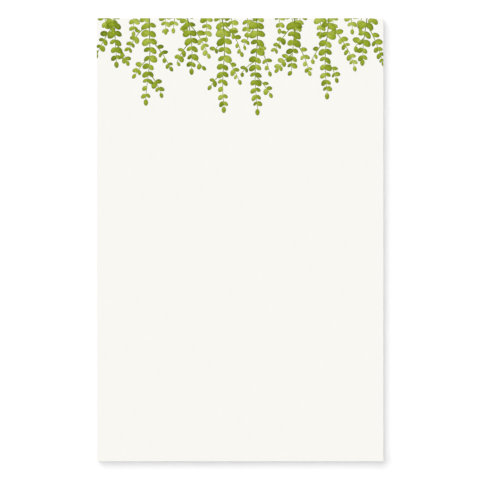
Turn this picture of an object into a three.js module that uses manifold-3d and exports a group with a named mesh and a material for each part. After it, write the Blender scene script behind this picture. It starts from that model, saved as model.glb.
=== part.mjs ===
// A gummed notepad: half-letter sheets stacked on a chipboard back, held along the head by a film of
// padding glue. The top sheet carries a printed border of round-leaved sprigs, hung in a row from its head.
// They are modelled as thin solids of ink lying on the paper.
//
// Millimetres. +X runs across the page, +Y towards the glued head and +Z out of the writing face.
// The origin is the centre of the underside.

import * as THREE from "three";
import { mergeVertices } from "three/addons/utils/BufferGeometryUtils.js";
import Module from "manifold-3d";

const wasm = await Module();
wasm.setup();

// ---- Driving dimensions -------------------------------------------------------------------------

const SHEET_WIDTH = 139.7;
const SHEET_LENGTH = 215.9;
const SHEET_THICKNESS = 0.125;
const SHEET_COUNT = 50;
const BOARD_THICKNESS = 0.75;
const GLUE_THICKNESS = 0.3;
const GLUE_EDGE_THICKNESS = 0.12; // the film thins towards the board and the top sheet
const INK_THICKNESS = 0.02;

const SPRIGS = {
  count: 8,
  jitter: 0.05, // sideways shift, as a share of the pitch between sprigs
  middleDrop: 45, // how far a sprig hangs at the middle of the page
  sideDrop: 32, // and at its sides
  curvePower: 1.6, // how late the drop shrinks on the way from the middle to the sides
  shortShare: 0.62, // every second sprig is this share of the full drop, from the outermost inwards
  dropSpread: 0.05,
  lean: 0.12, // radians either way from straight down
};

const STEM = {
  width: 0.5, // at its root
  tipShare: 0.5, // width at its tip, against that at its root
  step: 1, // spacing of the points that its curve is worked out at
  run: 3.5, // straight runs of its outline
  wave: 0.1, // radians
  waveLength: 46,
  turnLength: 20, // over this length a twig loses most of its slant and hangs down
};

const TWIG = {
  first: 3, // from the head of the page to the first twig
  spacing: 8,
  lastShare: 0.75, // no twig leaves the stem beyond this share of it
  length: 21,
  taperPower: 0.6, // how the twigs shorten towards the stem's tip
  shortest: 5,
  fork: 0.85, // radians between a twig and its stem
  leafScale: 0.84,
};

const LEAF = {
  length: 4.5,
  aspect: 1.45, // length over width
  footPower: 0.5, // how its width grows from its foot, where 0.5 is as round as an ellipse
  tipPower: 0.55, // and how it shrinks towards its tip
  tipScale: 0.64, // size of a leaf at the tip of a stem, against one at its root
  angle: 1.05, // radians between a leaf and its stem
  bend: 0.3, // radians that its midrib turns through
  spacing: 4.3,
  stagger: 0.3, // most that one leaf of a pair stands below the other
  first: 2.6, // from a stem's root to its first pair
  sunk: 0.5, // how far the leaf at a stem's tip starts inside the stem
  sides: 5, // straight runs in each half of the outline
};

const SPRIG_GAP = 0.12; // bare paper kept between two sprigs
const LEAF_MARGIN = 0.08; // extra reach of the discs that guard a leaf
const STEM_MARGIN = 0.24;
const CROWDING = 0.55; // share of a leaf's width that may not lie on another leaf of its sprig

// ---- Derived places -----------------------------------------------------------------------------

const PAD_THICKNESS = BOARD_THICKNESS + SHEET_COUNT * SHEET_THICKNESS;
const SIDE_X = SHEET_WIDTH / 2;
const FOOT_Y = -(SHEET_LENGTH + GLUE_THICKNESS) / 2;
const HEAD_Y = FOOT_Y + SHEET_LENGTH;
const DOWN = -Math.PI / 2;

// ---- Repeatable variation -----------------------------------------------------------------------

const GOLDEN_SHARE = 0.6180339887;

// A number from low to high that looks random from one whole n to the next.
function between(low, high, n) {
  return low + (high - low) * ((n * GOLDEN_SHARE) % 1);
}

// ---- The border's layout ------------------------------------------------------------------------

// A stem sets out along a heading and turns to hang straight down, with a gentle wave. It is drawn as far
// as its last leaf.
function growStem(root, heading, length, phase) {
  const count = Math.max(2, Math.round(length / STEM.step));
  const step = length / count;
  const points = [root];
  for (let i = 0; i < count; i++) {
    const along = (i + 0.5) * step;
    const wave = STEM.wave * Math.sin(2 * Math.PI * (along / STEM.waveLength + phase));
    const angle = DOWN + (heading - DOWN) * Math.exp(-along / STEM.turnLength) + wave;
    const [x, y] = points[i];
    points.push([x + Math.cos(angle) * step, y + Math.sin(angle) * step]);
  }
  return { points, step, length, drawn: 0 };
}

// The point at a distance along a stem, and the stem's heading there.
function placeOn(stem, along) {
  const i = Math.min(Math.floor(along / stem.step), stem.points.length - 2);
  const share = along / stem.step - i;
  const [ax, ay] = stem.points[i];
  const [bx, by] = stem.points[i + 1];
  return { x: ax + (bx - ax) * share, y: ay + (by - ay) * share, heading: Math.atan2(by - ay, bx - ax) };
}

// Half a leaf's width at a share of its length: an oval, a little narrower towards its tip.
function halfWidth(leaf, share) {
  const { footPower, tipPower } = LEAF;
  const peakShare = footPower / (footPower + tipPower);
  const peak = peakShare ** footPower * (1 - peakShare) ** tipPower;
  return (0.5 * leaf.width * share ** footPower * (1 - share) ** tipPower) / peak;
}

// The point at a share of the length along a leaf's midrib, which is an arc, and its heading there.
function midribAt(leaf, share) {
  const start = leaf.heading - leaf.bend / 2;
  const heading = start + leaf.bend * share;
  const radius = leaf.length / leaf.bend;
  return {
    x: leaf.x + radius * (Math.sin(heading) - Math.sin(start)),
    y: leaf.y - radius * (Math.cos(heading) - Math.cos(start)),
    heading,
  };
}

// Discs stand for what is printed when two sprigs are kept apart: [x, y, radius].
function stemDiscs(stem) {
  const count = Math.ceil(stem.length);
  return Array.from({ length: count + 1 }, (_, i) => {
    const { x, y } = placeOn(stem, (i / count) * stem.length);
    return [x, y, STEM.width / 2 + STEM_MARGIN];
  });
}

function leafDiscs(leaf) {
  const count = 7;
  return Array.from({ length: count }, (_, i) => {
    const share = (i + 0.75) / (count - 0.25);
    const { x, y } = midribAt(leaf, share);
    return [x, y, halfWidth(leaf, share) + LEAF_MARGIN];
  });
}

function areApart(discs, others, gap, scale = 1) {
  return discs.every(([x, y, r]) =>
    others.every(([u, v, q]) => Math.hypot(x - u, y - v) >= (r + q) * scale + gap),
  );
}

function isOnPage([x, y]) {
  return Math.abs(x) < SIDE_X && y < HEAD_Y;
}

// The main stems hang from the head, longest at the middle of the page, with every second one shorter.
function plantSprigs() {
  const pitch = SHEET_WIDTH / SPRIGS.count;
  return Array.from({ length: SPRIGS.count }, (_, k) => {
    const x = (k - (SPRIGS.count - 1) / 2 + between(-SPRIGS.jitter, SPRIGS.jitter, k + 1)) * pitch;
    const towardsSide = (Math.abs(x) / SIDE_X) ** SPRIGS.curvePower;
    const full = SPRIGS.middleDrop + (SPRIGS.sideDrop - SPRIGS.middleDrop) * towardsSide;
    const isShort = Math.min(k, SPRIGS.count - 1 - k) % 2 === 0;
    const spread = between(1 - SPRIGS.dropSpread, 1 + SPRIGS.dropSpread, 2 * k + 1);
    const drop = full * spread * (isShort ? SPRIGS.shortShare : 1);
    const lean = between(-SPRIGS.lean, SPRIGS.lean, 3 * k + 2);
    const main = growStem([x, HEAD_Y], DOWN + lean, drop, between(0, 1, 5 * k));
    return { main, twigs: [], leaves: [], discs: stemDiscs(main), firstSide: (k >> 1) % 2 ? 1 : -1 };
  });
}

function discsOfOthers(sprigs, sprig) {
  return sprigs.filter((other) => other !== sprig).flatMap((other) => other.discs);
}

// Twigs leave a main stem on alternate sides and stop short of another sprig or the page's edge.
function growTwigs(sprigs) {
  let n = 0;
  for (const sprig of sprigs) {
    const { main } = sprig;
    const others = discsOfOthers(sprigs, sprig);
    let side = sprig.firstSide;
    let along = TWIG.first;
    while (along < main.length * TWIG.lastShare) {
      n += 1;
      const taper = (1 - along / main.length) ** TWIG.taperPower;
      const length = Math.min(TWIG.length * taper * between(0.75, 1.25, n), (main.length - along) * 1.15);
      const root = placeOn(main, along);
      const heading = root.heading + side * TWIG.fork * between(0.85, 1.15, n + 3);
      const grown = growStem([root.x, root.y], heading, length, between(0, 1, 2 * n));
      const twig = clipStem(grown, others);
      if (twig.length > TWIG.shortest) {
        sprig.twigs.push(twig);
        sprig.discs.push(...stemDiscs(twig));
      }
      side = -side;
      along += TWIG.spacing * between(0.8, 1.2, n + 7);
    }
  }
}

// The run of a stem from its root that stays on the page and clear of the discs.
function clipStem(stem, others) {
  const radius = STEM.width / 2 + STEM_MARGIN;
  const blocked = stem.points.findIndex(
    (point, i) => i > 0 && !(isOnPage(point) && areApart([[...point, radius]], others, SPRIG_GAP)),
  );
  const points = blocked < 0 ? stem.points : stem.points.slice(0, blocked);
  return { points, step: stem.step, length: (points.length - 1) * stem.step, drawn: 0 };
}

// Leaves stand in opposite pairs, with one at the tip. The main stems are dressed before the twigs.
function dressWithLeaves(sprigs) {
  let n = 0;
  const addLeaf = (sprig, others, stem, along, leaf) => {
    const discs = leafDiscs(leaf);
    const own = sprig.leaves.flatMap((other) => leafDiscs(other).slice(1, -1));
    const fits = isOnPage([leaf.x, leaf.y]) && areApart(discs, others, SPRIG_GAP);
    if (fits && areApart(discs.slice(1), own, 0, CROWDING)) {
      sprig.leaves.push(leaf);
      sprig.discs.push(...discs);
      stem.drawn = Math.max(stem.drawn, along + STEM.width / 2);
    }
  };
  const dressStem = (sprig, others, stem, scale, first) => {
    let along = first;
    while (along < stem.length - LEAF.stagger - LEAF.sunk) {
      const share = along / stem.length;
      for (const side of [-1, 1]) {
        n += 1;
        const start = along + between(0, LEAF.stagger, 7 * n);
        const { x, y, heading } = placeOn(stem, start);
        const length = LEAF.length * scale * (1 - (1 - LEAF.tipScale) * share) * between(0.8, 1.15, n);
        const width = (length / LEAF.aspect) * between(0.85, 1.15, 3 * n);
        const angle = LEAF.angle * (1 - 0.3 * share) * between(0.8, 1.2, 2 * n + 1);
        const bend = -side * LEAF.bend * between(0.2, 1.2, 5 * n);
        addLeaf(sprig, others, stem, start, { x, y, heading: heading + side * angle, length, width, bend });
      }
      along += LEAF.spacing * scale * (1 - 0.25 * share) * between(0.9, 1.1, n);
    }
    n += 1;
    const start = stem.length - LEAF.sunk;
    const { x, y, heading } = placeOn(stem, start);
    const length = 1.1 * LEAF.length * scale * LEAF.tipScale;
    const width = length / LEAF.aspect;
    const turned = heading + between(-0.15, 0.15, n);
    addLeaf(sprig, others, stem, start, { x, y, heading: turned, length, width, bend: 0.1 });
  };
  for (const sprig of sprigs) {
    dressStem(sprig, discsOfOthers(sprigs, sprig), sprig.main, 1, LEAF.first);
  }
  for (const sprig of sprigs) {
    const others = discsOfOthers(sprigs, sprig);
    const first = LEAF.spacing * TWIG.leafScale * 0.6;
    sprig.twigs.forEach((twig) => dressStem(sprig, others, twig, TWIG.leafScale, first));
  }
}

function layOutBorder() {
  const sprigs = plantSprigs();
  growTwigs(sprigs);
  dressWithLeaves(sprigs);
  return sprigs;
}

// ---- Outlines of the printed shapes -------------------------------------------------------------

function stemOutline(stem) {
  const runs = Math.ceil(stem.drawn / STEM.run);
  const left = [];
  const right = [];
  for (let i = 0; i <= runs; i++) {
    const share = i / runs;
    const { x, y, heading } = placeOn(stem, share * stem.drawn);
    const half = (STEM.width / 2) * (1 - (1 - STEM.tipShare) * share);
    left.push([x - Math.sin(heading) * half, y + Math.cos(heading) * half]);
    right.push([x + Math.sin(heading) * half, y - Math.cos(heading) * half]);
  }
  return [...right, ...left.reverse()];
}

function leafOutline(leaf) {
  const left = [];
  const right = [];
  for (let i = 1; i < LEAF.sides; i++) {
    const share = (1 - Math.cos((Math.PI * i) / LEAF.sides)) / 2; // closer together at the round ends
    const { x, y, heading } = midribAt(leaf, share);
    const half = halfWidth(leaf, share);
    left.push([x - Math.sin(heading) * half, y + Math.cos(heading) * half]);
    right.push([x + Math.sin(heading) * half, y - Math.cos(heading) * half]);
  }
  const tip = midribAt(leaf, 1);
  return [[leaf.x, leaf.y], ...right, [tip.x, tip.y], ...left.reverse()];
}

// ---- Solids -------------------------------------------------------------------------------------

function toSolid(geometry) {
  const bare = geometry.clone();
  bare.deleteAttribute("normal");
  bare.deleteAttribute("uv");
  const merged = mergeVertices(bare);
  return new wasm.Manifold(
    new wasm.Mesh({
      numProp: 3,
      vertProperties: merged.attributes.position.array,
      triVerts: new Uint32Array(merged.index.array),
    }),
  );
}

function toGeometry(solid) {
  const mesh = solid.getMesh();
  const geometry = new THREE.BufferGeometry();
  geometry.setAttribute("position", new THREE.BufferAttribute(mesh.vertProperties, mesh.numProp));
  geometry.setIndex(new THREE.BufferAttribute(mesh.triVerts, 1));
  geometry.computeVertexNormals();
  return geometry;
}

function extrudeOutline(outline, depth) {
  const shape = new THREE.Shape(outline.map(([x, y]) => new THREE.Vector2(x, y)));
  return new THREE.ExtrudeGeometry(shape, { depth, bevelEnabled: false });
}

// One sprig: its stems and leaves fused into a flat solid and trimmed at the page's edges.
function buildSprig(sprig) {
  const stems = [sprig.main, ...sprig.twigs].filter((stem) => stem.drawn > 0);
  const outlines = stems.map(stemOutline).concat(sprig.leaves.map(leafOutline));
  const fused = outlines
    .map((outline) => toSolid(extrudeOutline(outline, INK_THICKNESS)))
    .reduce((whole, piece) => whole.add(piece));
  const page = new THREE.BoxGeometry(SHEET_WIDTH, SHEET_LENGTH, 1);
  page.translate(0, HEAD_Y - SHEET_LENGTH / 2, 0);
  return toGeometry(fused.intersect(toSolid(page)));
}

function buildPlate(thickness) {
  const outline = [
    [-SIDE_X, FOOT_Y],
    [SIDE_X, FOOT_Y],
    [SIDE_X, HEAD_Y],
    [-SIDE_X, HEAD_Y],
  ];
  return extrudeOutline(outline, thickness);
}

// The glue film covers the whole head of the stack. Its section lies in the YZ plane and runs along X.
function buildGlueFilm() {
  const bulge = GLUE_THICKNESS - GLUE_EDGE_THICKNESS;
  const section = new THREE.Shape();
  section.moveTo(0, 0);
  section.lineTo(GLUE_EDGE_THICKNESS, 0);
  section.quadraticCurveTo(
    GLUE_EDGE_THICKNESS + 2 * bulge,
    PAD_THICKNESS / 2,
    GLUE_EDGE_THICKNESS,
    PAD_THICKNESS,
  );
  section.lineTo(0, PAD_THICKNESS);
  const film = new THREE.ExtrudeGeometry(section, {
    depth: SHEET_WIDTH,
    curveSegments: 8,
    bevelEnabled: false,
  });
  const turn = new THREE.Matrix4().makeBasis(
    new THREE.Vector3(0, 1, 0),
    new THREE.Vector3(0, 0, 1),
    new THREE.Vector3(1, 0, 0),
  );
  return film.applyMatrix4(turn).translate(-SIDE_X, HEAD_Y, 0);
}

// ---- Assembly -----------------------------------------------------------------------------------

const FINISHES = {
  paper: { color: 0xf8f7f2, roughness: 0.85, metalness: 0 },
  board: { color: 0xa79a86, roughness: 0.95, metalness: 0 },
  glue: { color: 0xefece2, roughness: 0.45, metalness: 0 },
  ink: { color: 0x8fa340, roughness: 0.8, metalness: 0 },
};

function makePiece(name, geometry, finish, z = 0) {
  const mesh = new THREE.Mesh(geometry, new THREE.MeshStandardMaterial(FINISHES[finish]));
  mesh.name = name;
  mesh.position.z = z;
  return mesh;
}

const pad = new THREE.Group();
pad.add(makePiece("backing_board", buildPlate(BOARD_THICKNESS), "board"));

// Sheets are numbered from the top, as they are torn off.
for (let i = 1; i <= SHEET_COUNT; i++) {
  const name = "sheet_" + String(i).padStart(2, "0");
  pad.add(makePiece(name, buildPlate(SHEET_THICKNESS), "paper", PAD_THICKNESS - i * SHEET_THICKNESS));
}

pad.add(makePiece("glue_strip", buildGlueFilm(), "glue"));

const border = new THREE.Group();
border.position.z = PAD_THICKNESS;
layOutBorder().forEach((sprig, k) => border.add(makePiece(`sprig_${k + 1}`, buildSprig(sprig), "ink")));
pad.add(border);

export default pad;
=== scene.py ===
"""A half-letter notepad, lying face up on a pale floor, with a printed border of round-leaved sprigs.

The border hangs from the head of the top sheet. It is laid out in millimetres by the same rule as the part's
ink solids, and everything that is built is in metres. +X runs across the page, +Y towards the glued head and
+Z out of the writing face.
"""

import math
from types import SimpleNamespace

import bmesh
import bpy
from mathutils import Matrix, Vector, noise


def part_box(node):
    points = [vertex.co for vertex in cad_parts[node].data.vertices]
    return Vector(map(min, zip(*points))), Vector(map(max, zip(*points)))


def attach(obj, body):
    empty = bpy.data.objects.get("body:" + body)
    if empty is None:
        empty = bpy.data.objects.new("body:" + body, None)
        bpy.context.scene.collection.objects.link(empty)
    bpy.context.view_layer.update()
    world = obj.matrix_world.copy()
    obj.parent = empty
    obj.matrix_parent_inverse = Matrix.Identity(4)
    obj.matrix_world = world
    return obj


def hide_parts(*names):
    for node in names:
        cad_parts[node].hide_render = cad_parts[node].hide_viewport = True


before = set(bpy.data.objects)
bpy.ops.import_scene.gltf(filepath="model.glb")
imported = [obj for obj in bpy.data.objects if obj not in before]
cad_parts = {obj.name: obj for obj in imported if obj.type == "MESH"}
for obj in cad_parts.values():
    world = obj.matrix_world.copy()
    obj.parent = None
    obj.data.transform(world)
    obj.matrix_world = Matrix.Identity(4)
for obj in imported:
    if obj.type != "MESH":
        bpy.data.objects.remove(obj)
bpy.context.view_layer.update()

# ---- Sizes, read from the frame ------------------------------------------------------------------

MM = 0.001
BODY = "root"
SHEETS = sorted(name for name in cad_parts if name.startswith("sheet_"))
SPRIG_NODES = sorted(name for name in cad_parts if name.startswith("sprig_"))
TOP_SHEET, LOWER_SHEETS = SHEETS[0], SHEETS[1:]

page_low, page_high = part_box(TOP_SHEET)
board_low, board_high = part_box("backing_board")
glue_low, glue_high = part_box("glue_strip")
SHEET_PITCH = page_high.z - page_low.z
PAGE_WIDTH = page_high.x - page_low.x
PAGE_LENGTH = page_high.y - page_low.y
PAGE_MIDDLE_Y = (page_high.y + page_low.y) / 2
PAGE_TOP = page_high.z
WELD = 0.0002 * MM  # points of one slab of ink that lie this close are joined

# ---- The studio's light, against which the finishes are set --------------------------------------

KEY_LEVEL = 0.40  # what each light gives a white, level surface, where 1 shows as full white
SOFT_LEVEL = 0.58
SKY_LEVEL = 0.10
LIGHT_LEVEL = KEY_LEVEL + SOFT_LEVEL + SKY_LEVEL
BACKDROP_LEVEL = 1.05  # what the camera sees past the floor


def linear(value):
    """A colour channel, from its place on a screen's scale of 0 to 255 to the amount of light."""
    share = value / 255
    return share / 12.92 if share <= 0.04045 else ((share + 0.055) / 1.055) ** 2.4


def finish_colour(red, green, blue):
    """The surface colour that looks like this screen colour on a level face in the studio's light."""
    return tuple(linear(channel) / LIGHT_LEVEL for channel in (red, green, blue)) + (1.0,)


INK_SHINE = 0.08
FLOOR_COLOUR = (0.948, 0.95, 0.958, 1)
PAPER_COLOUR = finish_colour(248, 247, 242)
PAPER_EDGE_COLOUR = finish_colour(229, 226, 217)
INK_TONES = [  # from the deepest green to the palest wash
    (0.00, finish_colour(92, 111, 14)),
    (0.18, finish_colour(111, 131, 20)),
    (0.42, finish_colour(130, 149, 30)),
    (0.66, finish_colour(147, 165, 40)),
    (0.86, finish_colour(163, 179, 55)),
    (1.00, finish_colour(181, 195, 84)),
]
INK_DEEP = finish_colour(88, 106, 12)
INK_PALE = finish_colour(190, 201, 80)

# ---- Repeatable variation ------------------------------------------------------------------------

GOLDEN_SHARE = 0.6180339887


def between(low, high, n):
    """A number from low to high that looks random from one whole n to the next."""
    return low + (high - low) * ((n * GOLDEN_SHARE) % 1)


# ---- The border's layout, in millimetres, by the part's own rule ---------------------------------

SIDE_X = round(page_high.x / MM, 3)
HEAD_Y = round(page_high.y / MM, 3)
DOWN = -math.pi / 2

SPRIGS = SimpleNamespace(jitter=0.05, middle_drop=45, side_drop=32, curve_power=1.6, short_share=0.62,
                         drop_spread=0.05, lean=0.12)
STEM = SimpleNamespace(width=0.5, tip_share=0.5, step=1, wave=0.1, wave_length=46, turn_length=20)
TWIG = SimpleNamespace(first=3, spacing=8, last_share=0.75, length=21, taper_power=0.6, shortest=5,
                       fork=0.85, leaf_scale=0.84)
LEAF = SimpleNamespace(length=4.5, aspect=1.45, tip_scale=0.64, angle=1.05, bend=0.3, spacing=4.3,
                       stagger=0.3, first=2.6, sunk=0.5, foot_power=0.5, tip_power=0.55)
FAR_ROW = SimpleNamespace(count=20, rise=6, drop_share=0.16, leaf_scale=0.85, tone=0.8, shift=0.2,
                          lean=0.3)
SPRIG_GAP = 0.12  # bare paper kept between two sprigs
LEAF_MARGIN = 0.08  # extra reach of the discs that guard a leaf
STEM_MARGIN = 0.24
CROWDING = 0.55  # share of a leaf's width that may not lie on another leaf of its sprig
STEM_LEVELS = 3
MAIN_TONES, TWIG_TONES = (0.42, 0.68), (0.36, 0.88)  # of the leaves, from one stem to the next
LEAF_TONE_SPREAD = 0.3  # either way, from one leaf to the next

# Where an oval leaf is widest, and what its two powers come to there.
PEAK_SHARE = LEAF.foot_power / (LEAF.foot_power + LEAF.tip_power)
PEAK = PEAK_SHARE ** LEAF.foot_power * (1 - PEAK_SHARE) ** LEAF.tip_power


class Stem:
    """A stem's points, evenly spaced from its root to its tip. It is drawn as far as its last leaf."""

    def __init__(self, points, step):
        self.points = points
        self.step = step
        self.length = (len(points) - 1) * step
        self.drawn = 0
        self.level = 0

    @classmethod
    def grow(cls, root, heading, length, phase):
        """A stem that sets out along a heading and turns to hang straight down, with a gentle wave."""
        count = max(2, math.floor(length / STEM.step + 0.5))
        step = length / count
        points = [root]
        for i in range(count):
            along = (i + 0.5) * step
            wave = STEM.wave * math.sin(2 * math.pi * (along / STEM.wave_length + phase))
            angle = DOWN + (heading - DOWN) * math.exp(-along / STEM.turn_length) + wave
            x, y = points[i]
            points.append((x + math.cos(angle) * step, y + math.sin(angle) * step))
        return cls(points, step)

    def place(self, along):
        """The point at a distance along the stem, and the stem's heading there."""
        i = min(math.floor(along / self.step), len(self.points) - 2)
        share = along / self.step - i
        (ax, ay), (bx, by) = self.points[i], self.points[i + 1]
        return ax + (bx - ax) * share, ay + (by - ay) * share, math.atan2(by - ay, bx - ax)

    def discs(self):
        """Discs (x, y, radius) along the stem, which stand for it when sprigs are kept apart."""
        count = math.ceil(self.length)
        places = (self.place(i / count * self.length) for i in range(count + 1))
        return [(x, y, STEM.width / 2 + STEM_MARGIN) for x, y, _ in places]

    def clipped(self, others):
        """The run from the root that stays on the page and clear of the discs."""
        radius = STEM.width / 2 + STEM_MARGIN
        kept = self.points[:1]
        for x, y in self.points[1:]:
            if not (is_on_page(x, y) and are_apart([(x, y, radius)], others, SPRIG_GAP)):
                break
            kept.append((x, y))
        return Stem(kept, self.step)


class Leaf:
    """A round leaf on a midrib that is a shallow arc, a little narrower towards its tip."""

    def __init__(self, stem, start, turn, length, width, bend, tone):
        self.stem, self.start = stem, start
        self.x, self.y, heading = stem.place(start)
        self.heading = heading + turn
        self.length, self.width, self.bend, self.tone = length, width, bend, tone
        self.level = 0

    def midrib(self, share):
        """The point at a share of the leaf's length."""
        start = self.heading - self.bend / 2
        heading = start + self.bend * share
        radius = self.length / self.bend
        x = self.x + radius * (math.sin(heading) - math.sin(start))
        return x, self.y - radius * (math.cos(heading) - math.cos(start))

    def half_width(self, share):
        oval = share ** LEAF.foot_power * max(0, 1 - share) ** LEAF.tip_power / PEAK
        return 0.5 * self.width * oval

    def discs(self):
        """Discs from the leaf's foot to its tip, which stand for it."""
        count = 7
        shares = [(i + 0.75) / (count - 0.25) for i in range(count)]
        return [(*self.midrib(share), self.half_width(share) + LEAF_MARGIN) for share in shares]


def is_on_page(x, y):
    return abs(x) < SIDE_X and y < HEAD_Y


def are_apart(discs, others, gap, scale=1):
    """Whether no disc comes nearer than a gap to another, with the radii scaled."""
    return all(
        math.hypot(x - u, y - v) >= (r + q) * scale + gap for x, y, r in discs for u, v, q in others
    )


def hanging_drop(x):
    """How far the border hangs at a place across the page, deepest at the middle."""
    towards_side = (abs(x) / SIDE_X) ** SPRIGS.curve_power
    return SPRIGS.middle_drop + (SPRIGS.side_drop - SPRIGS.middle_drop) * towards_side


def plant_sprigs(count):
    """The main stems, in a row along the head: short and long by turns, from each side inwards."""
    sprigs = []
    pitch = 2 * SIDE_X / count
    for k in range(count):
        x = (k - (count - 1) / 2 + between(-SPRIGS.jitter, SPRIGS.jitter, k + 1)) * pitch
        is_short = min(k, count - 1 - k) % 2 == 0
        spread = between(1 - SPRIGS.drop_spread, 1 + SPRIGS.drop_spread, 2 * k + 1)
        drop = hanging_drop(x) * spread * (SPRIGS.short_share if is_short else 1)
        lean = between(-SPRIGS.lean, SPRIGS.lean, 3 * k + 2)
        main = Stem.grow((x, HEAD_Y), DOWN + lean, drop, between(0, 1, 5 * k))
        first_side = 1 if (k >> 1) % 2 else -1
        sprig = SimpleNamespace(main=main, twigs=[], leaves=[], discs=main.discs(), first_side=first_side)
        sprigs.append(sprig)
    return sprigs


def discs_of_others(sprigs, sprig):
    return [disc for other in sprigs if other is not sprig for disc in other.discs]


def grow_twigs(sprigs):
    """Twigs leave a main stem on alternate sides and stop short of another sprig or the page's edge."""
    n = 0
    for sprig in sprigs:
        main, side, along = sprig.main, sprig.first_side, TWIG.first
        others = discs_of_others(sprigs, sprig)
        while along < main.length * TWIG.last_share:
            n += 1
            taper = (1 - along / main.length) ** TWIG.taper_power
            length = min(TWIG.length * taper * between(0.75, 1.25, n), (main.length - along) * 1.15)
            x, y, heading = main.place(along)
            heading += side * TWIG.fork * between(0.85, 1.15, n + 3)
            twig = Stem.grow((x, y), heading, length, between(0, 1, 2 * n)).clipped(others)
            if twig.length > TWIG.shortest:
                sprig.twigs.append(twig)
                sprig.discs += twig.discs()
            side = -side
            along += TWIG.spacing * between(0.8, 1.2, n + 7)


def draw_to(leaf):
    """Has the leaf's stem drawn at least as far as the leaf's root."""
    leaf.stem.drawn = max(leaf.stem.drawn, leaf.start + STEM.width / 2)


def add_leaf(sprig, others, leaf):
    """Keeps a leaf that stays off the other sprigs and lies mostly clear of its own sprig's leaves."""
    discs = leaf.discs()
    own = [disc for other in sprig.leaves for disc in other.discs()[1:-1]]
    if is_on_page(leaf.x, leaf.y) and are_apart(discs, others, SPRIG_GAP):
        if are_apart(discs[1:], own, 0, CROWDING):
            sprig.leaves.append(leaf)
            sprig.discs += discs
            draw_to(leaf)


def leaves_of_stem(stem, scale, first, n, tone):
    """Leaves in opposite pairs, with one at the tip, and the count that the next stem goes on from."""
    leaves = []
    along = first
    while along < stem.length - LEAF.stagger - LEAF.sunk:
        share = along / stem.length
        for side in (-1, 1):
            n += 1
            start = along + between(0, LEAF.stagger, 7 * n)
            length = LEAF.length * scale * (1 - (1 - LEAF.tip_scale) * share) * between(0.8, 1.15, n)
            width = length / LEAF.aspect * between(0.85, 1.15, 3 * n)
            turn = side * LEAF.angle * (1 - 0.3 * share) * between(0.8, 1.2, 2 * n + 1)
            bend = -side * LEAF.bend * between(0.2, 1.2, 5 * n)
            own_tone = tone + between(-LEAF_TONE_SPREAD, LEAF_TONE_SPREAD, 9 * n)
            leaves.append(Leaf(stem, start, turn, length, width, bend, own_tone))
        along += LEAF.spacing * scale * (1 - 0.25 * share) * between(0.9, 1.1, n)
    n += 1
    length = 1.1 * LEAF.length * scale * LEAF.tip_scale
    turn = between(-0.15, 0.15, n)
    leaves.append(Leaf(stem, stem.length - LEAF.sunk, turn, length, length / LEAF.aspect, 0.1, tone))
    return leaves, n


def dress_with_leaves(sprigs):
    """The main stems get their leaves before the twigs do."""
    n = 0
    for k, sprig in enumerate(sprigs):
        others = discs_of_others(sprigs, sprig)
        leaves, n = leaves_of_stem(sprig.main, 1, LEAF.first, n, between(*MAIN_TONES, k))
        for leaf in leaves:
            add_leaf(sprig, others, leaf)
    for k, sprig in enumerate(sprigs):
        others = discs_of_others(sprigs, sprig)
        for t, twig in enumerate(sprig.twigs):
            tone = between(*TWIG_TONES, 4 * k + t)
            first = LEAF.spacing * TWIG.leaf_scale * 0.6
            leaves, n = leaves_of_stem(twig, TWIG.leaf_scale, first, n, tone)
            for leaf in leaves:
                add_leaf(sprig, others, leaf)


def lay_out_border(count):
    """The sprigs. A main stem lies over its twigs, and twigs that may cross lie at levels of their own."""
    sprigs = plant_sprigs(count)
    grow_twigs(sprigs)
    dress_with_leaves(sprigs)
    for sprig in sprigs:
        sprig.main.level = STEM_LEVELS
        for t, twig in enumerate(sprig.twigs):
            twig.level = t % STEM_LEVELS
    return sprigs


def lay_out_far_row():
    """Short, paler sprigs that start above the page's edge and show between and behind the others."""
    pitch = 2 * SIDE_X / FAR_ROW.count
    row = []
    n = 0
    for k in range(FAR_ROW.count):
        x = (k - (FAR_ROW.count - 1) / 2 + between(-FAR_ROW.shift, FAR_ROW.shift, k + 4)) * pitch
        rise = FAR_ROW.rise * between(0.4, 1, 2 * k)
        drop = hanging_drop(x) * FAR_ROW.drop_share * between(0.6, 1.4, 3 * k)
        lean = between(-FAR_ROW.lean, FAR_ROW.lean, 2 * k + 3)
        stem = Stem.grow((x, HEAD_Y + rise), DOWN + lean, drop + rise, between(0, 1, k))
        stem.level = k % STEM_LEVELS
        leaves, n = leaves_of_stem(stem, FAR_ROW.leaf_scale, 1, n, FAR_ROW.tone)
        draw_to(leaves[-1])
        row.append(SimpleNamespace(main=stem, leaves=leaves))
    return row


def pick_levels(leaves):
    """Gives each leaf the lowest level that no leaf it overlaps has, so that none lies in another."""
    for i, leaf in enumerate(leaves):
        taken = set()
        cx, cy = leaf.midrib(0.5)
        for other in leaves[:i]:
            ox, oy = other.midrib(0.5)
            is_near = math.hypot(cx - ox, cy - oy) < (leaf.length + other.length) / 2
            if is_near and not are_apart(leaf.discs(), other.discs(), 0):
                taken.add(other.level)
        leaf.level = next(level for level in range(len(leaves)) if level not in taken)


# ---- Node trees ----------------------------------------------------------------------------------


def add_node(tree, kind, inputs=None, **settings):
    """Adds a node with its settings. An input takes a value, a node's socket or a Field."""
    node = tree.nodes.new(kind)
    for name, value in settings.items():
        setattr(node, name, value)
    for key, value in (inputs or {}).items():
        socket = node.inputs[key]
        if isinstance(value, Field):
            value = value.socket
        if isinstance(value, bpy.types.NodeSocket):
            tree.links.new(value, socket)
        else:
            socket.default_value = value
    return node


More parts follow.
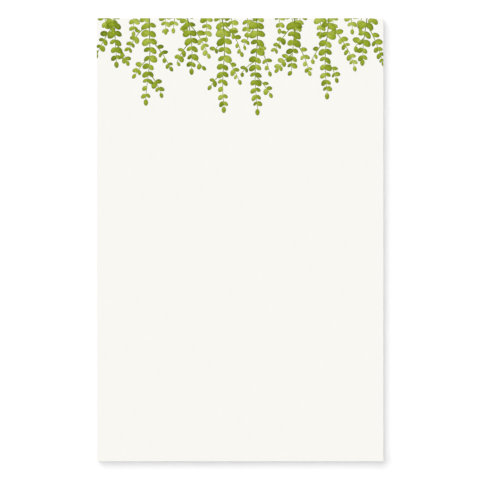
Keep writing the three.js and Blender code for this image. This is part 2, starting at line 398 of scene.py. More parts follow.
class Field:
    """A number that a node tree works out. Sums and products of fields add Math nodes to the tree."""

    def __init__(self, tree, socket):
        self.tree, self.socket = tree, socket

    def math(self, operation, *others):
        inputs = dict(enumerate([self, *others]))
        node = add_node(self.tree, "ShaderNodeMath", inputs, operation=operation)
        return Field(self.tree, node.outputs[0])

    def __add__(self, other):
        return self.math("ADD", other)

    def __sub__(self, other):
        return self.math("SUBTRACT", other)

    def __rsub__(self, other):
        return self.math("MULTIPLY", -1).math("ADD", other)

    def __mul__(self, other):
        return self.math("MULTIPLY", other)

    def __truediv__(self, other):
        return self.math("DIVIDE", other)

    def __pow__(self, other):
        return self.math("POWER", other)

    def sin(self):
        return self.math("SINE")

    def cos(self):
        return self.math("COSINE")

    def size(self):
        return self.math("ABSOLUTE")

    def step(self, low, high):
        """0 below low, 1 above high, and a smooth rise between them."""
        inputs = {"Value": self, "From Min": low, "From Max": high}
        node = add_node(self.tree, "ShaderNodeMapRange", inputs, interpolation_type="SMOOTHSTEP")
        return Field(self.tree, node.outputs[0])


def new_geometry_tree(name, inputs):
    """A Geometry Nodes tree with a geometry input and these others, as (name, kind of socket)."""
    tree = bpy.data.node_groups.new(name, "GeometryNodeTree")
    for label, kind in [("Geometry", "NodeSocketGeometry"), *inputs]:
        tree.interface.new_socket(label, in_out="INPUT", socket_type=kind)
    tree.interface.new_socket("Geometry", in_out="OUTPUT", socket_type="NodeSocketGeometry")
    return tree, tree.nodes.new("NodeGroupInput").outputs


def end_geometry_tree(tree, geometry, material):
    """Ends a tree in plain geometry with its material."""
    real = add_node(tree, "GeometryNodeRealizeInstances", {"Geometry": geometry})
    finished = add_node(tree, "GeometryNodeSetMaterial", {"Geometry": real.outputs[0], "Material": material})
    add_node(tree, "NodeGroupOutput", {"Geometry": finished.outputs[0]})
    return tree


def stored(tree, geometry, name, value, kind="FLOAT"):
    """The geometry with a value kept on its points under a name."""
    inputs = {"Geometry": geometry, "Name": name, "Value": value}
    settings = {"data_type": kind, "domain": "POINT"}
    return add_node(tree, "GeometryNodeStoreNamedAttribute", inputs, **settings).outputs[0]


def named(tree, name):
    """The value that a geometry's points carry under a name."""
    node = add_node(tree, "GeometryNodeInputNamedAttribute", {"Name": name}, data_type="FLOAT")
    return Field(tree, node.outputs[0])


def sheet_stack_tree():
    """Sheets one above another, each jogged a hair out of line, with a tone of its own."""
    tree, given = new_geometry_tree("sheet_stack", [
        ("Count", "NodeSocketInt"), ("Pitch", "NodeSocketFloat"), ("Sheet Size", "NodeSocketVector"),
        ("First Centre", "NodeSocketVector"), ("Jog", "NodeSocketVector"), ("Seed", "NodeSocketInt"),
        ("Paper", "NodeSocketMaterial"),
    ])
    sheet = add_node(tree, "GeometryNodeMeshCube", {"Size": given["Sheet Size"]}).outputs["Mesh"]
    rise = add_node(tree, "ShaderNodeCombineXYZ", {"Z": given["Pitch"]}).outputs[0]
    line_inputs = {"Count": given["Count"], "Start Location": given["First Centre"], "Offset": rise}
    places = add_node(tree, "GeometryNodeMeshLine", line_inputs).outputs[0]
    number = add_node(tree, "GeometryNodeInputIndex").outputs[0]
    tone_inputs = {"ID": number, "Seed": given["Seed"]}
    tone = add_node(tree, "FunctionNodeRandomValue", tone_inputs, data_type="FLOAT")
    toned = stored(tree, places, "sheet_tone", tone.outputs["Value"])
    copies = add_node(tree, "GeometryNodeInstanceOnPoints", {"Points": toned, "Instance": sheet}).outputs[0]
    back = add_node(tree, "ShaderNodeVectorMath", {0: given["Jog"], 1: (-1, -1, -1)}, operation="MULTIPLY")
    jog_inputs = {"Min": back.outputs[0], "Max": given["Jog"], "ID": number, "Seed": given["Seed"]}
    jog = add_node(tree, "FunctionNodeRandomValue", jog_inputs, data_type="FLOAT_VECTOR").outputs["Value"]
    moved = add_node(tree, "GeometryNodeTranslateInstances", {"Instances": copies, "Translation": jog})
    return end_geometry_tree(tree, moved.outputs[0], given["Paper"])


def leaf_print_tree():
    """One printed leaf on each point: a thin slab along an arc, from the sizes that the point carries."""
    tree, given = new_geometry_tree("leaf_print", [
        ("Points Along", "NodeSocketInt"), ("Ink Depth", "NodeSocketFloat"), ("Ink", "NodeSocketMaterial"),
    ])
    grid_inputs = {"Size X": 1, "Size Y": 2, "Vertices X": given["Points Along"], "Vertices Y": 3}
    grid = add_node(tree, "GeometryNodeMeshGrid", grid_inputs).outputs["Mesh"]
    place = add_node(tree, "GeometryNodeInputPosition").outputs[0]
    spot = add_node(tree, "ShaderNodeSeparateXYZ", {0: place})
    even = Field(tree, spot.outputs["X"]) + 0.5
    crowded = 0.5 - (even * math.pi).cos() * 0.5  # towards both ends, where the outline turns most
    blade = stored(tree, grid, "along", crowded)
    blade = stored(tree, blade, "across", spot.outputs["Y"])
    copies = add_node(tree, "GeometryNodeInstanceOnPoints", {"Points": given["Geometry"], "Instance": blade})
    spread = add_node(tree, "GeometryNodeRealizeInstances", {"Geometry": copies.outputs[0]}).outputs[0]

    along, across = named(tree, "along"), named(tree, "across")
    width, bend = named(tree, "leaf_width"), named(tree, "bend")
    radius = named(tree, "leaf_length") / bend
    start = named(tree, "heading") - bend * 0.5
    heading = start + bend * along
    oval = (along ** LEAF.foot_power) * ((1 - along).math("MAXIMUM", 0) ** LEAF.tip_power)
    half = width * oval * (0.5 / PEAK)
    x = named(tree, "root_x") + radius * (heading.sin() - start.sin()) - heading.sin() * half * across
    y = named(tree, "root_y") - radius * (heading.cos() - start.cos()) + heading.cos() * half * across
    foot = named(tree, "height") - Field(tree, given["Ink Depth"])
    shaped = add_node(tree, "ShaderNodeCombineXYZ", {"X": x, "Y": y, "Z": foot}).outputs[0]
    face = add_node(tree, "GeometryNodeSetPosition", {"Geometry": spread, "Position": shaped}).outputs[0]
    return close_slab(tree, face, given)


def close_slab(tree, face, given):
    """Thickens a level face upwards into a closed slab of ink and ends the tree."""
    up = add_node(tree, "ShaderNodeCombineXYZ", {"Z": given["Ink Depth"]}).outputs[0]
    inputs = {"Mesh": face, "Offset": up, "Offset Scale": 1.0, "Individual": False}
    top = add_node(tree, "GeometryNodeExtrudeMesh", inputs).outputs["Mesh"]
    under = add_node(tree, "GeometryNodeFlipFaces", {"Mesh": face}).outputs[0]
    both = add_node(tree, "GeometryNodeJoinGeometry")
    tree.links.new(top, both.inputs[0])
    tree.links.new(under, both.inputs[0])
    weld = add_node(tree, "GeometryNodeMergeByDistance", {"Geometry": both.outputs[0], "Distance": WELD})
    return end_geometry_tree(tree, weld.outputs[0], given["Ink"])


def stem_print_tree():
    """Printed stems: a ribbon of ink under each line, as wide as its points say."""
    tree, given = new_geometry_tree("stem_print", [
        ("Root Width", "NodeSocketFloat"), ("Ink Depth", "NodeSocketFloat"), ("Ink", "NodeSocketMaterial"),
    ])
    line = add_node(tree, "GeometryNodeMeshToCurve", {"Mesh": given["Geometry"]}).outputs[0]
    level = add_node(tree, "GeometryNodeSetCurveNormal", {"Curve": line}, mode="Z_UP")
    depth = Field(tree, given["Ink Depth"]) / Field(tree, given["Root Width"])
    section_inputs = {"Width": 1.0, "Height": depth}
    section = add_node(tree, "GeometryNodeCurvePrimitiveQuadrilateral", section_inputs).outputs[0]
    below = add_node(tree, "ShaderNodeCombineXYZ", {"Y": depth * 0.5}).outputs[0]  # its +Y turns to -Z
    hung = add_node(tree, "GeometryNodeTransform", {"Geometry": section, "Translation": below}).outputs[0]
    ribbon_inputs = {"Curve": level.outputs[0], "Profile Curve": hung, "Scale": named(tree, "stem_width"),
                     "Fill Caps": True}
    ribbon = add_node(tree, "GeometryNodeCurveToMesh", ribbon_inputs).outputs[0]
    flat = add_node(tree, "GeometryNodeSetShadeSmooth", {"Geometry": ribbon, "Shade Smooth": False})
    return end_geometry_tree(tree, flat.outputs[0], given["Ink"])


# ---- Finishes ------------------------------------------------------------------------------------


COLOUR_A, COLOUR_B, COLOUR_OUT = 6, 7, 2  # the colour sockets of a Mix node, by their places


def new_finish(name, roughness, shine=0.3):
    """A material with an empty tree but for its shader, which is wired to the output."""
    material = bpy.data.materials.new(name)
    material.use_nodes = True
    tree = material.node_tree
    tree.nodes.clear()
    inputs = {"Roughness": roughness, "Specular IOR Level": shine}
    shader = add_node(tree, "ShaderNodeBsdfPrincipled", inputs)
    add_node(tree, "ShaderNodeOutputMaterial", {"Surface": shader.outputs[0]})
    return material, tree, shader


def object_place(tree, scale=(1, 1, 1)):
    """Object coordinates, stretched along the axes."""
    place = add_node(tree, "ShaderNodeTexCoord").outputs["Object"]
    return add_node(tree, "ShaderNodeMapping", {"Vector": place, "Scale": scale}).outputs[0]


def noise_field(tree, place, grain, detail=2.0, roughness=0.5):
    """Noise whose spots are about one grain across, in metres."""
    inputs = {"Vector": place, "Scale": 1 / grain, "Detail": detail, "Roughness": roughness}
    return Field(tree, add_node(tree, "ShaderNodeTexNoise", inputs).outputs["Fac"])


def attribute(tree, name):
    """The value that a piece's own points carry under a name."""
    return Field(tree, add_node(tree, "ShaderNodeAttribute", attribute_name=name).outputs["Fac"])


def mix(tree, share, first, second):
    """A colour that turns from the first to the second as share goes from 0 to 1."""
    inputs = {"Factor": share, COLOUR_A: first, COLOUR_B: second}
    return add_node(tree, "ShaderNodeMix", inputs, data_type="RGBA").outputs[COLOUR_OUT]


def ramp(tree, share, stops):
    """A colour from a scale of stops, each a position and its colour."""
    node = add_node(tree, "ShaderNodeValToRGB", {"Fac": share})
    elements = node.color_ramp.elements
    while len(elements) < len(stops):
        elements.new(1.0)
    for element, (position, colour) in zip(elements, stops):
        element.position = position
        element.color = colour
    return node.outputs["Color"]


def bump(tree, shader, height, depth, strength=1.0):
    """Gives a shader the relief of a height field, whose full height is this depth in metres."""
    inputs = {"Height": height, "Distance": depth, "Strength": strength}
    normal = add_node(tree, "ShaderNodeBump", inputs).outputs[0]
    tree.links.new(normal, shader.inputs["Normal"])


def paper_grain(tree):
    """The felt of the sheet: short fibres lying both ways over a fine tooth."""
    along = noise_field(tree, object_place(tree, (1, 0.22, 1)), 0.22 * MM)
    across = noise_field(tree, object_place(tree, (0.22, 1, 1)), 0.26 * MM)
    tooth = noise_field(tree, object_place(tree), 0.09 * MM, detail=3)
    return along * 0.4 + across * 0.35 + tooth * 0.25


def paper_finish():
    """Uncoated writing paper: warm white, with a faint cloudy formation and a soft tooth."""
    material, tree, shader = new_finish("writing_paper", 0.88)
    cloud = noise_field(tree, object_place(tree), 6 * MM, detail=4, roughness=0.6)
    fine = noise_field(tree, object_place(tree), 0.6 * MM, detail=3)
    shade = cloud.step(0.3, 0.7) * 0.6 + fine.step(0.35, 0.65) * 0.4
    light, dark = (tuple(c * f for c in PAPER_COLOUR[:3]) + (1,) for f in (1.006, 0.996))
    tree.links.new(mix(tree, shade, light, dark), shader.inputs["Base Color"])
    grain = paper_grain(tree)
    tree.links.new((grain * 0.14 + 0.8).socket, shader.inputs["Roughness"])
    bump(tree, shader, grain, 0.012 * MM, 0.5)
    return material


def paper_stack_finish():
    """The same paper below the top sheet, with each cut edge a little lighter or darker than the next."""
    material, tree, shader = new_finish("cut_paper_edges", 0.9)
    tone = attribute(tree, "sheet_tone")
    knife = noise_field(tree, object_place(tree, (1, 1, 0.02)), 0.5 * MM, detail=3)
    fuzz = noise_field(tree, object_place(tree, (0.3, 0.3, 1)), 0.05 * MM, detail=3)
    ream = noise_field(tree, object_place(tree, (0.01, 0.01, 1)), 0.7 * MM, detail=2)
    share = tone * 0.4 + knife * 0.15 + ream.step(0.35, 0.65) * 0.25 + fuzz.step(0.35, 0.65) * 0.2
    edge = mix(tree, share, PAPER_EDGE_COLOUR, PAPER_COLOUR)
    tree.links.new(edge, shader.inputs["Base Color"])
    tree.links.new((knife * 0.12 + 0.84).socket, shader.inputs["Roughness"])
    bump(tree, shader, knife * 0.5 + fuzz * 0.5, 0.03 * MM, 0.6)
    return material


def ink_finish():
    """Leaves brushed in thin green washes: paler at the foot, pooled at the tip and along the rim."""
    material, tree, shader = new_finish("leaf_green_print", 0.82, INK_SHINE)
    along, across, tone = (attribute(tree, name) for name in ("along", "across", "tone"))
    blot = noise_field(tree, object_place(tree), 1.1 * MM, detail=4, roughness=0.62)
    speck = noise_field(tree, object_place(tree), 0.12 * MM, detail=2)
    tooth = noise_field(tree, object_place(tree), 0.2 * MM, detail=3, roughness=0.7)
    wash = tone + (blot - 0.5) * 1.4 + (0.6 - along) * 0.3
    colour = ramp(tree, wash, INK_TONES)
    rim = (across.size() + (blot - 0.5) * 0.3).step(0.72, 1.0) * 0.34
    pooled = (along + (blot - 0.5) * 0.4).step(0.7, 1.0) * 0.32
    shaded_half = (across + (blot - 0.5) * 0.6).step(-0.15, 0.3) * 0.16
    settled = tooth.step(0.5, 0.72) * 0.16
    colour = mix(tree, (rim + pooled + shaded_half + settled).math("MINIMUM", 0.65), colour, INK_DEEP)
    rib = (1 - across.size().step(0.02, 0.16)) * (1 - along.step(0.5, 0.9)) * 0.22
    grains = speck.step(0.55, 0.75) * 0.16
    colour = mix(tree, rib + grains, colour, INK_PALE)
    tree.links.new(colour, shader.inputs["Base Color"])
    grain = paper_grain(tree)
    tree.links.new((grain * 0.16 + 0.74).socket, shader.inputs["Roughness"])
    bump(tree, shader, grain, 0.01 * MM, 0.5)
    return material


def stem_finish():
    """Stems drawn with a fine brush, each as deep or as pale a green as its points say."""
    material, tree, shader = new_finish("stem_green_print", 0.82, INK_SHINE)
    blot = noise_field(tree, object_place(tree), 2.5 * MM, detail=3)
    colour = ramp(tree, attribute(tree, "tone") + (blot - 0.5) * 0.5, INK_TONES)
    tree.links.new(colour, shader.inputs["Base Color"])
    bump(tree, shader, paper_grain(tree), 0.01 * MM, 0.5)
    return material


def board_finish():
    """Grey-brown chipboard with pressed fibres and dark and light flecks of waste paper."""
    material, tree, shader = new_finish("chipboard", 0.93)
    base, dark, light = (finish_colour(*c) for c in ((172, 160, 142), (128, 115, 98), (205, 197, 182)))
    cloud = noise_field(tree, object_place(tree), 5 * MM, detail=5, roughness=0.65)
    fibre = noise_field(tree, object_place(tree, (1, 0.12, 1)), 0.5 * MM, detail=3)
    cross = noise_field(tree, object_place(tree, (0.12, 1, 1)), 0.45 * MM, detail=3)
    fleck = noise_field(tree, object_place(tree, (1, 1, 0.3)), 0.7 * MM, detail=1)
    pulp = noise_field(tree, object_place(tree, (0.12, 0.12, 1)), 0.07 * MM, detail=3, roughness=0.6)
    speck = noise_field(tree, object_place(tree), 0.1 * MM, detail=2)
    colour = mix(tree, cloud.step(0.35, 0.7) * 0.35 + fibre.step(0.5, 0.7) * 0.25, base, dark)
    colour = mix(tree, pulp.step(0.42, 0.62) * 0.4, colour, dark)
    colour = mix(tree, speck.step(0.55, 0.75) * 0.35, colour, light)
    colour = mix(tree, cross.step(0.58, 0.72) * 0.35, colour, light)
    colour = mix(tree, fleck.step(0.66, 0.72) * 0.55, colour, dark)
    tree.links.new(colour, shader.inputs["Base Color"])
    relief = fibre * 0.35 + cross * 0.35 + pulp * 0.3
    tree.links.new((relief * 0.1 + 0.86).socket, shader.inputs["Roughness"])
    bump(tree, shader, relief, 0.05 * MM, 0.7)
    return material


def glue_finish():
    """Dried padding glue: a milky skin with brushed streaks, glossier in the hollows between them."""
    material, tree, shader = new_finish("padding_glue", 0.4)
    streak = noise_field(tree, object_place(tree, (0.04, 1, 1)), 0.35 * MM, detail=4, roughness=0.6)
    pool = noise_field(tree, object_place(tree, (0.5, 1, 1)), 4 * MM, detail=3)
    thin, thick = finish_colour(236, 231, 219), finish_colour(247, 245, 238)
    tree.links.new(mix(tree, streak * 0.6 + pool * 0.4, thin, thick), shader.inputs["Base Color"])
    tree.links.new((streak * 0.3 + 0.26).socket, shader.inputs["Roughness"])
    bump(tree, shader, streak * 0.7 + pool * 0.3, 0.08 * MM, 0.8)
    return material


def floor_finish():
    """A plain matte white that takes the pad's shadow."""
    material, _, shader = new_finish("pale_floor", 1.0)
    shader.inputs["Base Color"].default_value = FLOOR_COLOUR
    shader.inputs["Specular IOR Level"].default_value = 0.0
    return material


# ---- Making pieces -------------------------------------------------------------------------------


def add_piece(name, mesh, slot, *stands_for):
    """Puts a mesh in the scene as a piece of the pad."""
    piece = bpy.data.objects.new(name, mesh)
    bpy.context.scene.collection.objects.link(piece)
    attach(piece, BODY)
    if stands_for:
        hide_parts(*stands_for)
    return piece


def grown_mesh(name, source_mesh, tree, values):
    """Runs a node tree on a mesh and returns the outcome as a plain mesh."""
    source = bpy.data.objects.new(name + "_source", source_mesh)
    bpy.context.scene.collection.objects.link(source)
    modifier = source.modifiers.new("build", "NODES")
    modifier.node_group = tree
    for socket in tree.interface.items_tree:
        if socket.in_out == "INPUT" and socket.name in values:
            modifier[socket.identifier] = values[socket.name]
    graph = bpy.context.evaluated_depsgraph_get()
    mesh = bpy.data.meshes.new_from_object(source.evaluated_get(graph))
    mesh.name = name
    source.modifiers.remove(modifier)
    bpy.data.objects.remove(source)
    return mesh


def sort_rim(shape, first):
    """Sorts the faces from one number on by place, as an extrusion makes its rim in no fixed order."""
    shape.faces.ensure_lookup_table()
    rim = sorted(shape.faces[first:], key=lambda face: tuple(face.calc_center_median()))
    shape.faces.index_update()
    for number, face in enumerate(rim, start=first):
        face.index = number
    shape.faces.sort()


def mesh_from_bmesh(name, shape, material):
    """Turns a finished shape into a mesh with its faces pointing outwards."""
    mesh = bpy.data.meshes.new(name)
    bmesh.ops.recalc_face_normals(shape, faces=shape.faces)
    shape.to_mesh(mesh)
    shape.free()
    mesh.materials.append(material)
    return mesh


# ---- The paper stack -----------------------------------------------------------------------------


def make_top_sheet(material):
    """The top sheet, a closed slab with a grid of faces on either side."""
    gap = 0.006 * MM
    face_size = 5 * MM
    across, along = round(PAGE_WIDTH / face_size), round(PAGE_LENGTH / face_size)
    shape = bmesh.new()
    bmesh.ops.create_grid(shape, x_segments=across, y_segments=along, size=0.5)
    for vertex in shape.verts:
        vertex.co.x *= PAGE_WIDTH
        vertex.co.y = vertex.co.y * PAGE_LENGTH + PAGE_MIDDLE_Y
        vertex.co.z = page_low.z + gap
    up = Vector((0, 0, SHEET_PITCH - gap))
    lower = shape.faces[:]
    raised = bmesh.ops.extrude_face_region(shape, geom=lower, use_keep_orig=True)["geom"]
    bmesh.ops.translate(shape, vec=up, verts=[v for v in raised if isinstance(v, bmesh.types.BMVert)])
    sort_rim(shape, 2 * len(lower))
    mesh = mesh_from_bmesh("top_sheet", shape, material)
    return add_piece("top_sheet", mesh, "paper", TOP_SHEET)


def make_lower_sheets(material):
    """The rest of the block: hairline gaps, cut edges a hair out of line and heads that reach the glue."""
    gap = 0.016 * MM
    jog = Vector((0.06, 0.04, 0)) * MM
    seed = 11
    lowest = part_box(LOWER_SHEETS[-1])[0].z
    values = {
        "Count": len(LOWER_SHEETS),
        "Pitch": SHEET_PITCH,
        "Sheet Size": (PAGE_WIDTH - 2 * jog.x, PAGE_LENGTH, SHEET_PITCH - gap),
        "First Centre": (0, PAGE_MIDDLE_Y + jog.y, lowest + SHEET_PITCH / 2),
        "Jog": jog,
        "Seed": seed,
        "Paper": material,
    }
    mesh = grown_mesh("lower_sheets", bpy.data.meshes.new("seed"), sheet_stack_tree(), values)
    return add_piece("lower_sheets", mesh, "paper", *LOWER_SHEETS)


# ---- The backing board ---------------------------------------------------------------------------


def make_backing_board(material):
    """A slab whose cut edges are slightly rounded and fuzzy, built up as rings round its outline."""
    step = 1.0 * MM
    fuzz, fuzz_grain = 0.05 * MM, 0.8 * MM
    head_y = board_high.y + 0.1 * MM  # a little way into the glue
    depths = [0.10, 0.03, 0.0, 0.0, 0.02, 0.09]  # in millimetres, from the underside up
    heights = [0.0, 0.08, 0.3, 0.6, 0.92, 1.0]  # shares of the thickness
    corners = [(board_low.x, board_low.y), (board_high.x, board_low.y), (board_high.x, head_y),
               (board_low.x, head_y)]
    outline = []
    for (ax, ay), (bx, by) in zip(corners, corners[1:] + corners[:1]):
        runs = round(math.hypot(bx - ax, by - ay) / step)
        outline += [(ax + (bx - ax) * i / runs, ay + (by - ay) * i / runs) for i in range(runs)]
    middle = Vector(((board_low.x + board_high.x) / 2, (board_low.y + head_y) / 2))
    reach = Vector((board_high.x - middle.x, head_y - middle.y))
    shape = bmesh.new()
    rings = []
    for depth, height in zip(depths, heights):
        z = board_low.z + (board_high.z - board_low.z) * height
        ring = []
        for x, y in outline:
            rough = fuzz * noise.noise(Vector((x, y, z)) / fuzz_grain) if 0 < height < 1 else 0
            inset = depth * MM + fuzz + rough
            shrink = ((reach.x - inset) / reach.x, (reach.y - inset) / reach.y)
            ring.append(shape.verts.new((
                middle.x + (x - middle.x) * shrink[0], middle.y + (y - middle.y) * shrink[1], z)))
        rings.append(ring)
    for below, above in zip(rings, rings[1:]):
        for i in range(len(outline)):
            j = (i + 1) % len(outline)
            shape.faces.new((below[i], below[j], above[j], above[i]))
    shape.faces.new(rings[0][::-1])
    shape.faces.new(rings[-1])
    mesh = mesh_from_bmesh("chipboard_back", shape, material)
    return add_piece("chipboard_back", mesh, "board", "backing_board")


# ---- The glued head ------------------------------------------------------------------------------


def make_glue_film(material):
    """A brushed film over the head of the block: thin at its edges, with streaks along it."""
    across_runs, up_runs = 280, 22
    edge, full = 0.12 * MM, glue_high.y - glue_low.y
    streak_length, streak_height, streak_seed = 9 * MM, 0.45 * MM, 3.0
    drift_length, drift_height, drift_seed = 14 * MM, 3 * MM, 8.0
    even_share, streak_share, drift_share = 0.8, 0.12, 0.08  # of the film's bulge
    shape = bmesh.new()
    back, front = [], []
    for i in range(across_runs + 1):
        x = glue_low.x + (glue_high.x - glue_low.x) * i / across_runs
        back.append([shape.verts.new((x, glue_low.y, z)) for z in (glue_low.z, glue_high.z)])
        column = []
        for j in range(up_runs + 1):
            share = j / up_runs
            z = glue_low.z + (glue_high.z - glue_low.z) * share
            streak = noise.noise(Vector((x / streak_length, z / streak_height, streak_seed)))
            drift = noise.noise(Vector((x / drift_length, z / drift_height, drift_seed)))
            brushed = even_share + streak_share * streak + drift_share * drift
            body = edge + (full - edge) * 4 * share * (1 - share) * brushed
            column.append(shape.verts.new((x, glue_low.y + body, z)))
        front.append(column)
    for i in range(across_runs):
        for j in range(up_runs):
            shape.faces.new((front[i][j], front[i][j + 1], front[i + 1][j + 1], front[i + 1][j]))
        shape.faces.new((back[i][0], back[i + 1][0], back[i + 1][1], back[i][1]))
        shape.faces.new((back[i][0], front[i][0], front[i + 1][0], back[i + 1][0]))
        shape.faces.new((back[i][1], back[i + 1][1], front[i + 1][-1], front[i][-1]))
    for i in (0, across_runs):
        shape.faces.new([back[i][0], *front[i], back[i][1]])
    mesh = mesh_from_bmesh("glue_film", shape, material)
    return add_piece("glue_film", mesh, "glue", "glue_strip")


# ---- The printed border --------------------------------------------------------------------------

INK_DEPTH = 0.035 * MM  # from an inked face down into the paper, so that no gap shows below its rim
FAR_STEM_HEIGHT = 0.001 * MM  # of the lowest inked faces above the page
FAR_LEAF_HEIGHT = 0.004 * MM
STEM_HEIGHT = 0.011 * MM
LEAF_HEIGHT = 0.016 * MM
STEM_PITCH = 0.001 * MM  # between stems that may cross
LEAF_PITCH = 0.002 * MM  # between leaves that overlap
PAGE_TRIM = 0.005 * MM  # from a cut end of the print to the page's edge
CUT_TOLERANCE = 1e-8  # metres within which a point lies on a cut
LEAF_POINTS = 11  # along a leaf, from its foot to its tip
STEM_TONE, FAR_STEM_TONE = 0.25, 0.7
STEM_TONE_SPREAD = 0.15  # either way, from one stem to the next
STEM_TONE_RISE = 0.2  # from a stem's root to its tip


def keep_on_points(mesh, values):
    """Keeps lists of numbers on a mesh's points, each under its name."""
    for name, numbers in values.items():
        mesh.attributes.new(name, "FLOAT", "POINT").data.foreach_set("value", numbers)


def points_mesh(name, leaves, height):
    """A point for each leaf's root, which carries the leaf's sizes."""
    mesh = bpy.data.meshes.new(name)
    mesh.from_pydata([(leaf.x * MM, leaf.y * MM, PAGE_TOP) for leaf in leaves], [], [])
    values = {
        "root_x": [leaf.x * MM for leaf in leaves],
        "root_y": [leaf.y * MM for leaf in leaves],
        "heading": [leaf.heading for leaf in leaves],
        "leaf_length": [leaf.length * MM for leaf in leaves],
        "leaf_width": [leaf.width * MM for leaf in leaves],
        "bend": [leaf.bend for leaf in leaves],
        "tone": [leaf.tone for leaf in leaves],
        "height": [PAGE_TOP + height + leaf.level * LEAF_PITCH for leaf in leaves],
    }
    keep_on_points(mesh, values)
    return mesh


def lines_mesh(name, stems, height, tone):
    """A line of edges along each stem, whose points carry the stem's width and tone there."""
    places, edges, widths, tones = [], [], [], []
    for number, stem in enumerate(stems):
        runs = math.ceil(stem.drawn)
        edges += [(len(places) + i, len(places) + i + 1) for i in range(runs)]
        for i in range(runs + 1):
            share = i / runs
            x, y, _ = stem.place(share * stem.drawn)
            places.append((x * MM, y * MM, PAGE_TOP + height + stem.level * STEM_PITCH))
            widths.append(STEM.width * (1 - (1 - STEM.tip_share) * share) * MM)
            own_tone = tone + between(-STEM_TONE_SPREAD, STEM_TONE_SPREAD, number)
            tones.append(own_tone + STEM_TONE_RISE * share)
    mesh = bpy.data.meshes.new(name)
    mesh.from_pydata(places, edges, [])
    keep_on_points(mesh, {"stem_width": widths, "tone": tones})
    return mesh


def trim_to_page(mesh):
    """Cuts a print off a hair inside the page's edges and closes the cuts."""
    shape = bmesh.new()
    shape.from_mesh(mesh)
    left, right, head = page_low.x + PAGE_TRIM, page_high.x - PAGE_TRIM, page_high.y - PAGE_TRIM
    cuts = [((left, 0, 0), (-1, 0, 0)), ((right, 0, 0), (1, 0, 0)), ((0, head, 0), (0, 1, 0))]
    for point, outward in cuts:
        everything = shape.verts[:] + shape.edges[:] + shape.faces[:]
        bmesh.ops.bisect_plane(shape, geom=everything, plane_co=point, plane_no=outward,
                               clear_outer=True, dist=CUT_TOLERANCE)
        open_edges = [edge for edge in shape.edges if edge.is_boundary]
        if open_edges:
            bmesh.ops.holes_fill(shape, edges=open_edges, sides=0)
    shape.to_mesh(mesh)
    shape.free()
    return mesh


def make_border(leaf_ink, stem_ink):
    """The sprigs in front, each in place of its own solid, and the pale row behind them."""
    leaf_tree, stem_tree = leaf_print_tree(), stem_print_tree()
    leaf_sizes = {"Points Along": LEAF_POINTS, "Ink Depth": INK_DEPTH, "Ink": leaf_ink}
    stem_sizes = {"Root Width": STEM.width * MM, "Ink Depth": INK_DEPTH, "Ink": stem_ink}

    def print_leaves(name, leaves, height, *stands_for):
        pick_levels(leaves)
        mesh = grown_mesh(name, points_mesh(name, leaves, height), leaf_tree, leaf_sizes)
        add_piece(name, trim_to_page(mesh), "ink", *stands_for)

    def print_stems(name, stems, height, tone):
        drawn = [stem for stem in stems if stem.drawn > 0]
        mesh = grown_mesh(name, lines_mesh(name, drawn, height, tone), stem_tree, stem_sizes)
        add_piece(name, trim_to_page(mesh), "ink")

    for node, sprig in zip(SPRIG_NODES, lay_out_border(len(SPRIG_NODES))):
        print_leaves(node + "_leaves", sprig.leaves, LEAF_HEIGHT, node)
        print_stems(node + "_stems", [sprig.main, *sprig.twigs], STEM_HEIGHT, STEM_TONE)
    far_row = lay_out_far_row()
    far_leaves = [leaf for sprig in far_row for leaf in sprig.leaves]
    far_stems = [sprig.main for sprig in far_row]
    print_leaves("far_row_leaves", far_leaves, FAR_LEAF_HEIGHT)
    print_stems("far_row_stems", far_stems, FAR_STEM_HEIGHT, FAR_STEM_TONE)


# ---- Studio --------------------------------------------------------------------------------------

VIEW_WIDTH = 233.9 * MM  # of the page's plane, from side to side of the camera's view
VIEW_CENTRE = (0.0, -0.30 * MM)
LENS, SENSOR = 180.0, 36.0  # millimetres
SOFT_TILT = math.radians(26)  # of the soft light from straight overhead
SOFT_BEARING = math.radians(129)  # where it comes from, counted from +X
SOFT_SIZE = math.radians(50)
KEY_SIZE = math.radians(4)
FLOOR_SIZE = 8.0
FLOOR_GAP = 0.01 * MM  # below the board


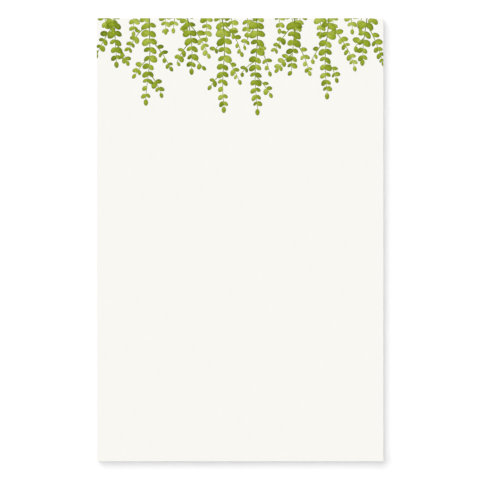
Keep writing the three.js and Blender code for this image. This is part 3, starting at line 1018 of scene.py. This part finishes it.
def add_sun(name, level, tilt, bearing, size):
    """A sun that gives a level white surface this much light."""
    lamp = bpy.data.lights.new(name, "SUN")
    lamp.energy = level * math.pi / math.cos(tilt)
    lamp.angle = size
    sun = bpy.data.objects.new(name, lamp)
    level_reach = math.sin(tilt)
    towards = Vector((level_reach * math.cos(bearing), level_reach * math.sin(bearing), math.cos(tilt)))
    sun.rotation_euler = towards.to_track_quat("Z", "Y").to_euler()
    bpy.context.scene.collection.objects.link(sun)


def set_up_studio():
    """A camera straight overhead, one small and one wide light, an even sky and a pale floor."""
    scene = bpy.context.scene
    scene.view_settings.view_transform = "Standard"

    lens = bpy.data.cameras.new("camera")
    lens.lens, lens.sensor_width = LENS, SENSOR
    camera = bpy.data.objects.new("camera", lens)
    camera.location = (*VIEW_CENTRE, PAGE_TOP + VIEW_WIDTH * LENS / SENSOR)
    scene.collection.objects.link(camera)
    scene.camera = camera

    add_sun("overhead_light", KEY_LEVEL, 0.0, 0.0, KEY_SIZE)
    add_sun("soft_light", SOFT_LEVEL, SOFT_TILT, SOFT_BEARING, SOFT_SIZE)

    world = bpy.data.worlds.new("studio")
    world.use_nodes = True
    tree = world.node_tree
    tree.nodes.clear()
    seen = add_node(tree, "ShaderNodeLightPath").outputs["Is Camera Ray"]
    sky = add_node(tree, "ShaderNodeBackground", {"Color": (1, 1, 1, 1), "Strength": SKY_LEVEL})
    backdrop_inputs = {"Color": (1, 1, 1, 1), "Strength": BACKDROP_LEVEL}
    backdrop = add_node(tree, "ShaderNodeBackground", backdrop_inputs)
    both = add_node(tree, "ShaderNodeMixShader", {0: seen, 1: sky.outputs[0], 2: backdrop.outputs[0]})
    add_node(tree, "ShaderNodeOutputWorld", {"Surface": both.outputs[0]})
    scene.world = world

    bpy.ops.mesh.primitive_plane_add(size=FLOOR_SIZE, location=(0, 0, board_low.z - FLOOR_GAP))
    floor = bpy.context.object
    floor.name = "floor"
    floor.data.materials.append(floor_finish())


# ---- The pad -------------------------------------------------------------------------------------

set_up_studio()
make_top_sheet(paper_finish())
make_lower_sheets(paper_stack_finish())
make_backing_board(board_finish())
make_glue_film(glue_finish())
make_border(ink_finish(), stem_finish())
